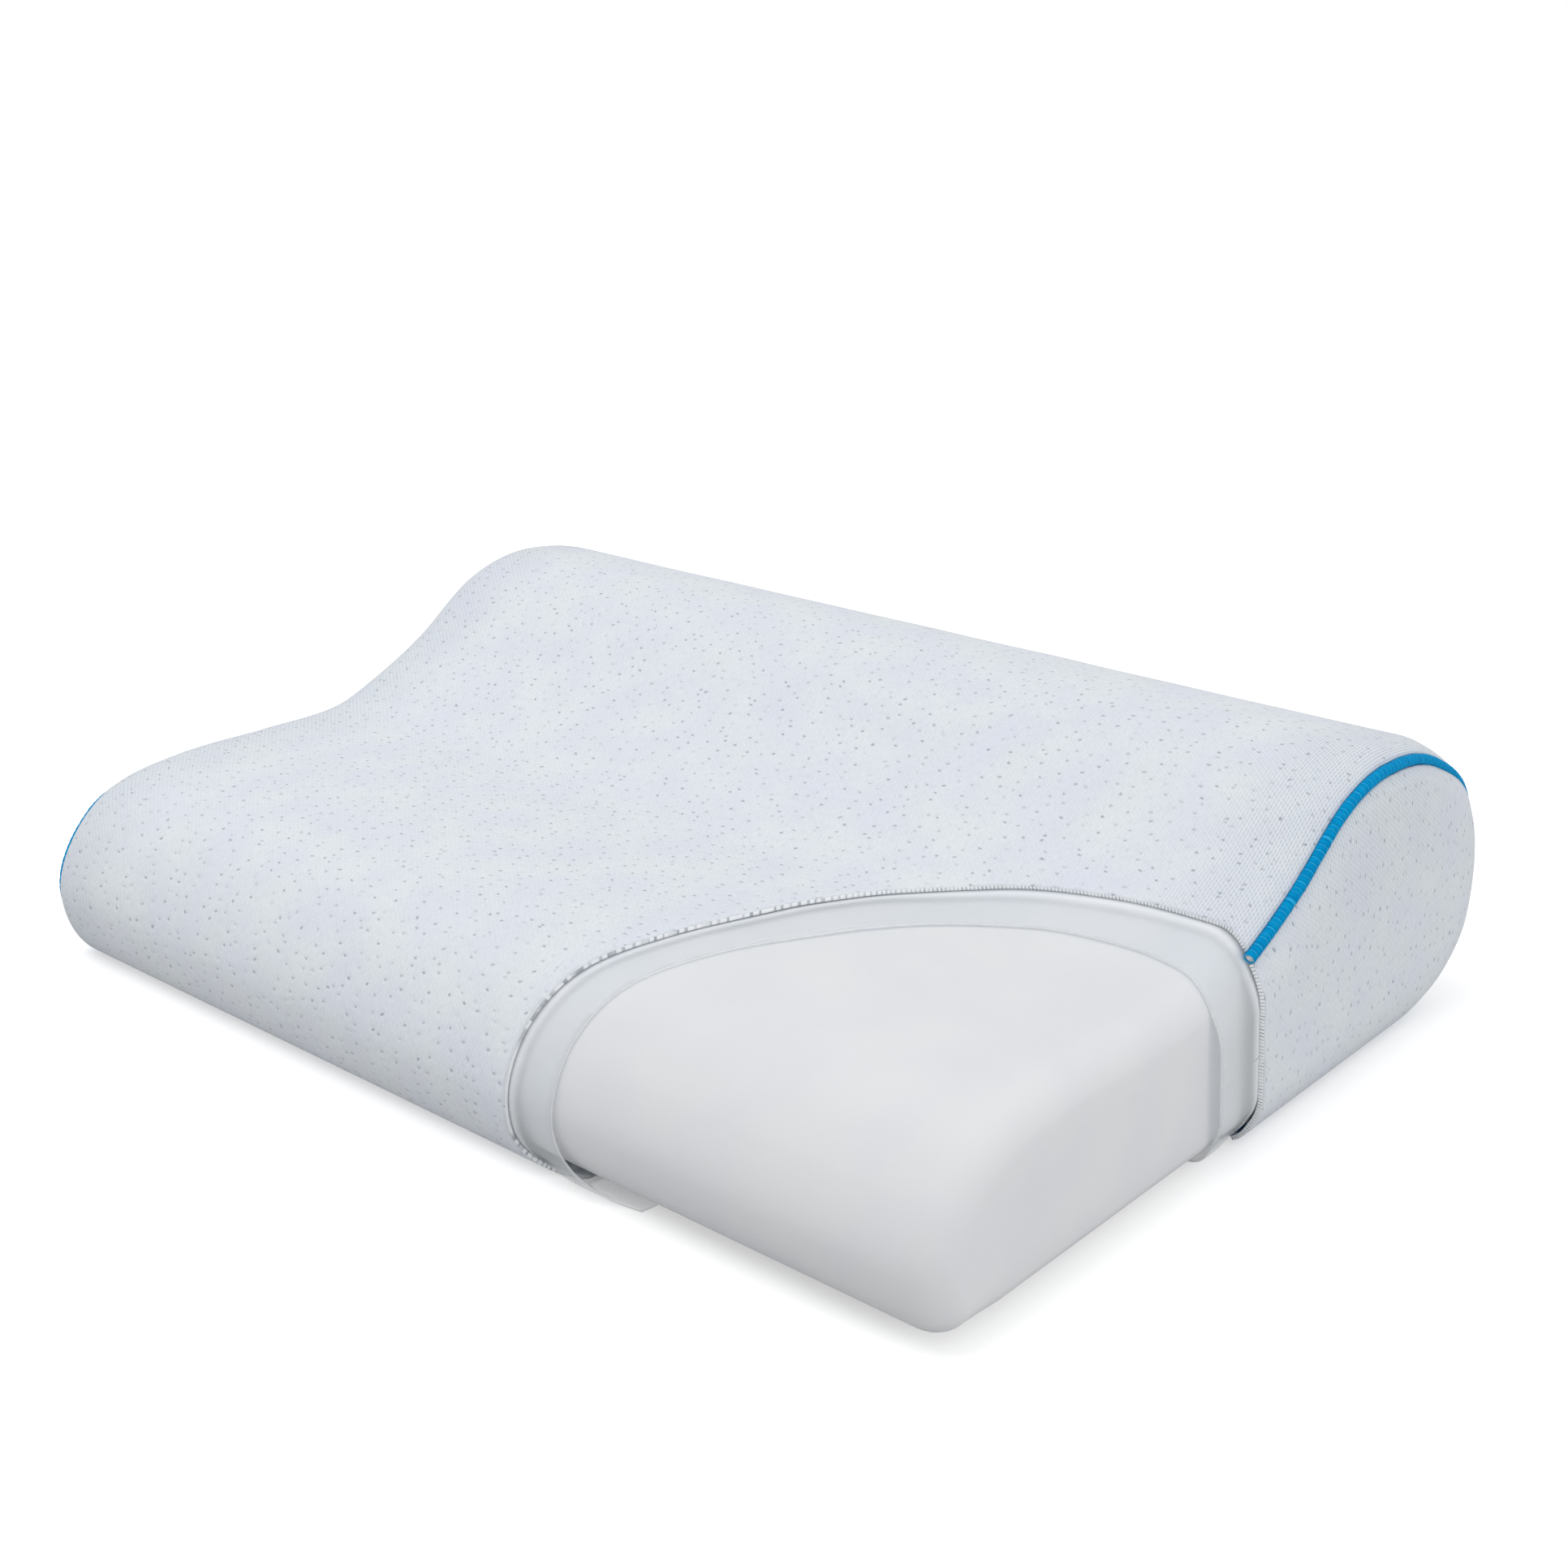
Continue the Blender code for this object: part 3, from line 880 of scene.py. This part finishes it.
def liner_sag(point, cover_window):
    """How far the liner hangs lower where the cover no longer lifts it, near the floor."""
    past_cut = smooth_share(-outside_window(point, cover_window), SAG_START, SAG_RUN)
    low = 1 - smooth_share(point.z, 0, SAG_HEIGHT)
    return SAG_DEPTH * past_cut * low


def make_liner(finishes, window, cover_window):
    """The thin inner case over the whole core, with its area."""
    end_x = HALF_LENGTH - LINER_DEPTH
    half = panel_rings(LINER_EDGE_STEPS, lambda station: 0, END_CROWN_X - LINER_DEPTH, LINER_RUN,
                       LINER_EDGE_RADIUS, LINER_DEPTH, end_x)
    middle = []
    straight = end_x - LINER_EDGE_RADIUS
    for step in range(1, LINER_STRAIGHT_STEPS):
        x = straight * (2 * step / LINER_STRAIGHT_STEPS - 1)
        middle.append([on_ring(station, LINER_DEPTH, x) for station in STATIONS])
    mirrored = [[Vector((-point.x, point.y, point.z)) for point in ring] for ring in reversed(half)]
    rings = mirrored + middle + half
    cloth = cloth_grid(len(STATIONS), len(rings) - 1)

    def place(index, row):
        station = STATIONS[index % len(STATIONS)]
        point = rings[row][index % len(STATIONS)]
        return point - station.inward * liner_sag(point, cover_window)

    lay_cloth(cloth, lambda index, row: (index, row), place)
    for side in (1, -1):
        rim = [edge for edge in cloth.edges if edge.is_boundary and edge.verts[0].co.x * side > 0]
        bmesh.ops.contextual_create(cloth, geom=rim)
    face_outwards(cloth)
    cut_cloth(cloth, window)
    uv = cloth.loops.layers.uv["flat"]
    for vert in cloth.verts:
        past_cut = -outside_window(vert.co, cover_window)
        for loop in vert.link_loops:
            loop[uv].uv = (past_cut, 0)
    area = sum(face.calc_area() for face in cloth.faces)
    liner = mesh_piece("liner", cloth, *finishes)
    add_wall(liner, LINER_THICKNESS)
    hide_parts("inner_liner")
    return liner, area


def evenly(chain, spacing, closed):
    """A chain of (point, extra) pairs at an even spacing, with runs. The extra is a normal or a radius."""
    if closed:
        chain = chain + chain[:1]
    runs = [0]
    for (start, _), (end, _) in zip(chain, chain[1:]):
        runs.append(runs[-1] + (end - start).length)
    count = ceil(runs[-1] / spacing)
    found = []
    index = 0
    for step in range(count if closed else count + 1):
        run = runs[-1] * step / count
        while index < len(runs) - 2 and runs[index + 1] < run:
            index += 1
        share = (run - runs[index]) / max(runs[index + 1] - runs[index], 1e-9)
        start, extra = chain[index]
        end, next_extra = chain[index + 1]
        found.append((start.lerp(end, share), extra + (next_extra - extra) * share, run))
    return found


def make_cut_band(name, edge, finish):
    """The knit's cut edge: a band across the cloth's thickness, rounded on top, with a ridge for each rib."""
    points = evenly(edge, RIB_PITCH / BAND_STEPS_PER_RIB, False)
    thickness = COVER_THICKNESS + BAND_REACH
    cloth = cloth_grid(len(points) - 1, BAND_ROWS + 1)

    def flat(index, row):
        return min(row, BAND_ROWS) / BAND_ROWS * thickness, points[index][2]

    def place(index, row):
        spot, normal, run = points[index]
        normal = normal.normalized()
        before = points[max(index - 1, 0)][0]
        after = points[min(index + 1, len(points) - 1)][0]
        side = (after - before).normalized().cross(normal)
        rib = int(run / RIB_PITCH)
        reach = RIDGE_REACH + RIDGE_UNEVEN * noise.noise(Vector((rib * 1.7, 0, 0)))
        ridge = abs(sin(pi * run / RIB_PITCH))
        angle = pi * (row % (BAND_ROWS + 1)) / BAND_ROWS
        proud = BAND_PROUD + (BAND_ROUND + reach * ridge) * sin(min(angle, pi / 2))
        middle = thickness / 2
        return spot - normal * (middle - middle * cos(angle)) + side * proud

    lay_cloth(cloth, flat, place)
    bmesh.ops.recalc_face_normals(cloth, faces=cloth.faces)
    band = mesh_piece(name, cloth, finish)
    return band


def seam_route(side):
    """The piping's centre line at one end, as pairs of a point and a radius."""
    route = []
    for station in STATIONS:
        radius, sunk = piping_size(station, side)
        run = station.seam * COVER_EDGE_RADIUS
        surface = on_edge(station, run, COVER_EDGE_RADIUS, 0, HALF_LENGTH)
        centre = on_ring(station, COVER_EDGE_RADIUS, HALF_LENGTH - COVER_EDGE_RADIUS)
        point = surface + (centre - surface).normalized() * sunk
        point.x *= side
        route.append((point, radius))
    return route


def between(pair, next_pair, y):
    """The point and the radius where the route crosses y."""
    share = (y - pair[0].y) / (next_pair[0].y - pair[0].y)
    return pair[0].lerp(next_pair[0], share), pair[1] + share * (next_pair[1] - pair[1])


def behind_window(route):
    """The stretch of the route from the window's top edge over the high lobe and under to its lower edge."""
    stretch = []
    for index, pair in enumerate(route + route):
        next_pair = route[(index + 1) % len(route)]
        if not stretch and pair[0].z > PIPING_TOP_FROM_Z and pair[0].y < PIPING_END_TOP_Y <= next_pair[0].y:
            stretch.append(between(pair, next_pair, PIPING_END_TOP_Y))
        elif stretch and pair[0].y > min(PIPING_END_TOP_Y, PIPING_END_BOTTOM_Y):
            stretch.append(pair)
        if stretch and pair[0].y > PIPING_END_BOTTOM_Y >= next_pair[0].y:
            stretch.append(between(pair, next_pair, PIPING_END_BOTTOM_Y))
            break
    return stretch


def crease_beat(run):
    """Which cross crease a run along the piping is at. Creases are unevenly spaced."""
    return run / CREASE_PITCH + CREASE_WANDER * noise.noise(Vector((run / 0.006, 3, 0)))


def creased(radius, run):
    """The piping cloth's radius, drawn in at each cross crease."""
    depth = 0.5 + 0.5 * noise.noise(Vector((run / 0.004, 11, 0)))
    fold = abs(sin(pi * crease_beat(run))) ** 0.5
    swell = SLEEVE_SWELL * noise.noise(Vector((run / 0.009, 7, 0)))
    return radius * (1.0 - CREASE_DEPTH * depth * (1 - fold) + swell)


def around(places, index, closed, angle):
    """The point at an angle round the route, a radius away from it."""
    count = len(places)
    point, radius = places[index % count]
    before = places[index - 1][0] if closed or index else point
    after = places[(index + 1) % count][0] if closed or index < count - 1 else point
    way = (after - before).normalized()
    outward = way.cross(Vector((1, 0, 0))).normalized()
    return point + (outward * cos(angle) + way.cross(outward) * sin(angle)) * radius


def make_piping(name, node, route, closed, finish):
    """The blue sleeve over the cord, an open tube with its own wall where the window cuts it."""
    spots = evenly(route, SLEEVE_STEP, closed)
    places = [(point, creased(radius, run)) for point, radius, run in spots]
    runs = [run for _, _, run in spots]
    columns = len(places) if closed else len(places) - 1
    if closed:
        runs.append(2 * runs[-1] - runs[-2])
    sleeve = cloth_grid(columns, SLEEVE_SIDES)

    def flat(index, row):
        return row / SLEEVE_SIDES, crease_beat(runs[index]) * CREASE_PITCH

    def place(index, row):
        return around(places, index, closed, 2 * pi * row / SLEEVE_SIDES)

    lay_cloth(sleeve, flat, place)
    bmesh.ops.recalc_face_normals(sleeve, faces=sleeve.faces)
    piece = mesh_piece(name, sleeve, finish)
    if not closed:
        add_wall(piece, SLEEVE_WALL)
    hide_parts(node)
    return piece


def make_cord_end(name, route, finish):
    """The white cord inside the piping, as far as it shows at the cut."""
    spots = evenly(route, CORD_STEP, False)
    places = [(point, radius * CORD_SHARE) for point, radius, run in spots if CORD_SUNK < run < CORD_SHOWN]
    angles = [2 * pi * side / SLEEVE_SIDES for side in range(SLEEVE_SIDES)]
    rings = [[around(places, index, False, angle) for angle in angles] for index in range(len(places))]
    return mesh_piece(name, drawn_shape(rings, False), finish)


# The finishes
knit_wrap = knit_finish("knit wrap", "along", WRAP_RIBS_SHOW)
knit_panel = knit_finish("knit panel", "across", PANEL_RIBS_SHOW)
cut_knit = cut_knit_finish()
liner_cloth = liner_finish()
cut_liner = cut_liner_finish()
foam_skin = foam_finish()
blue_piping = piping_finish()
white_cord = cord_finish()

# The pieces
cover_window = make_window(COVER_WINDOW, COVER_LIP)
liner_window = make_window(LINER_WINDOW, LINER_LIP)
foam = make_foam(foam_skin)
liner, liner_area = make_liner((liner_cloth, cut_liner), liner_window, cover_window)
wrap, wrap_edge, wrap_area = make_cover_wrap((knit_wrap, cut_knit), cover_window)
panel_finishes = (knit_panel, cut_knit)
right_panel, panel_edge, right_area = make_end_panel(
    "end_cloth_right", "end_panel_right", 1, panel_finishes, cover_window)
left_panel, _, left_area = make_end_panel("end_cloth_left", "end_panel_left", -1, panel_finishes, None)
wrap_band = make_cut_band("wrap_cut_edge", wrap_edge, cut_knit)
panel_band = make_cut_band("panel_cut_edge", panel_edge, cut_knit)
cut_route = behind_window(seam_route(1))
right_piping = make_piping("piping_cloth_right", "piping_right", cut_route, False, blue_piping)
left_piping = make_piping("piping_cloth_left", "piping_left", seam_route(-1), True, blue_piping)
top_cord = make_cord_end("cord_end_top", cut_route, white_cord)
low_cord = make_cord_end("cord_end_low", list(reversed(cut_route)), white_cord)

for piece in (foam, liner, wrap, right_panel, left_panel, wrap_band, panel_band, right_piping, left_piping,
              top_cord, low_cord):
    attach(piece, "root")


def make_floor(name, height, finish):
    """A wide level square, not attached to the pillow."""
    ground = bmesh.new()
    bmesh.ops.create_grid(ground, x_segments=1, y_segments=1, size=FLOOR_SIZE)
    for vert in ground.verts:
        vert.co.z = height
    floor = mesh_piece(name, ground, finish)
    return floor


# The floor is what the camera sees, and a duller card just below it is what throws light back up.
white_floor = make_floor("floor", 0, floor_finish("floor", FLOOR_LEVEL, FLOOR_GLOW))
white_floor.visible_diffuse = False
white_floor.visible_glossy = False
white_floor.visible_transmission = False
white_floor.visible_shadow = False
card = make_floor("bounce card", CARD_Z, floor_finish("bounce card", CARD_LEVEL, 0))
card.visible_camera = False


def studio_sky():
    """A white sky, stronger near the horizon than higher up."""
    world = bpy.data.worlds.new("studio")
    world.use_nodes = True
    tree = world.node_tree
    sky = tree.nodes["Background"]
    direction = tree.nodes.new("ShaderNodeTexCoord")
    axes = tree.nodes.new("ShaderNodeSeparateXYZ")
    fall = tree.nodes.new("ShaderNodeMapRange")
    tree.links.new(direction.outputs["Generated"], axes.inputs["Vector"])
    tree.links.new(axes.outputs["Z"], fall.inputs["Value"])
    tree.links.new(fall.outputs["Result"], sky.inputs["Strength"])
    for name, value in {"From Min": 0.10, "From Max": 0.25, "To Min": 1.05, "To Max": 0.64}.items():
        fall.inputs[name].default_value = value
    sky.inputs["Color"].default_value = (1, 1, 1, 1)
    return world


def soft_light(name, place, aim, size, power):
    """A round white lamp at a place, aimed at a point."""
    lamp = bpy.data.lights.new(name, "AREA")
    lamp.shape = "DISK"
    lamp.size = size
    lamp.energy = power
    holder = bpy.data.objects.new(name, lamp)
    holder.location = place
    holder.rotation_euler = (Vector(aim) - Vector(place)).to_track_quat("-Z", "Y").to_euler()
    bpy.context.collection.objects.link(holder)


soft_light("overhead", (-0.5, -0.6, 2.1), (0, 0, 0), 2.0, 20)
soft_light("end side", (2.1, 0.1, 0.55), (0, 0, 0.05), 1.2, 8)

camera_data = bpy.data.cameras.new("camera")
camera_data.lens = CAMERA_LENS
camera = bpy.data.objects.new("camera", camera_data)
camera.location = CAMERA_PLACE
camera.rotation_euler = CAMERA_TURN
bpy.context.collection.objects.link(camera)
bpy.context.scene.camera = camera
bpy.context.scene.world = studio_sky()
bpy.context.scene.view_settings.view_transform = "Standard"
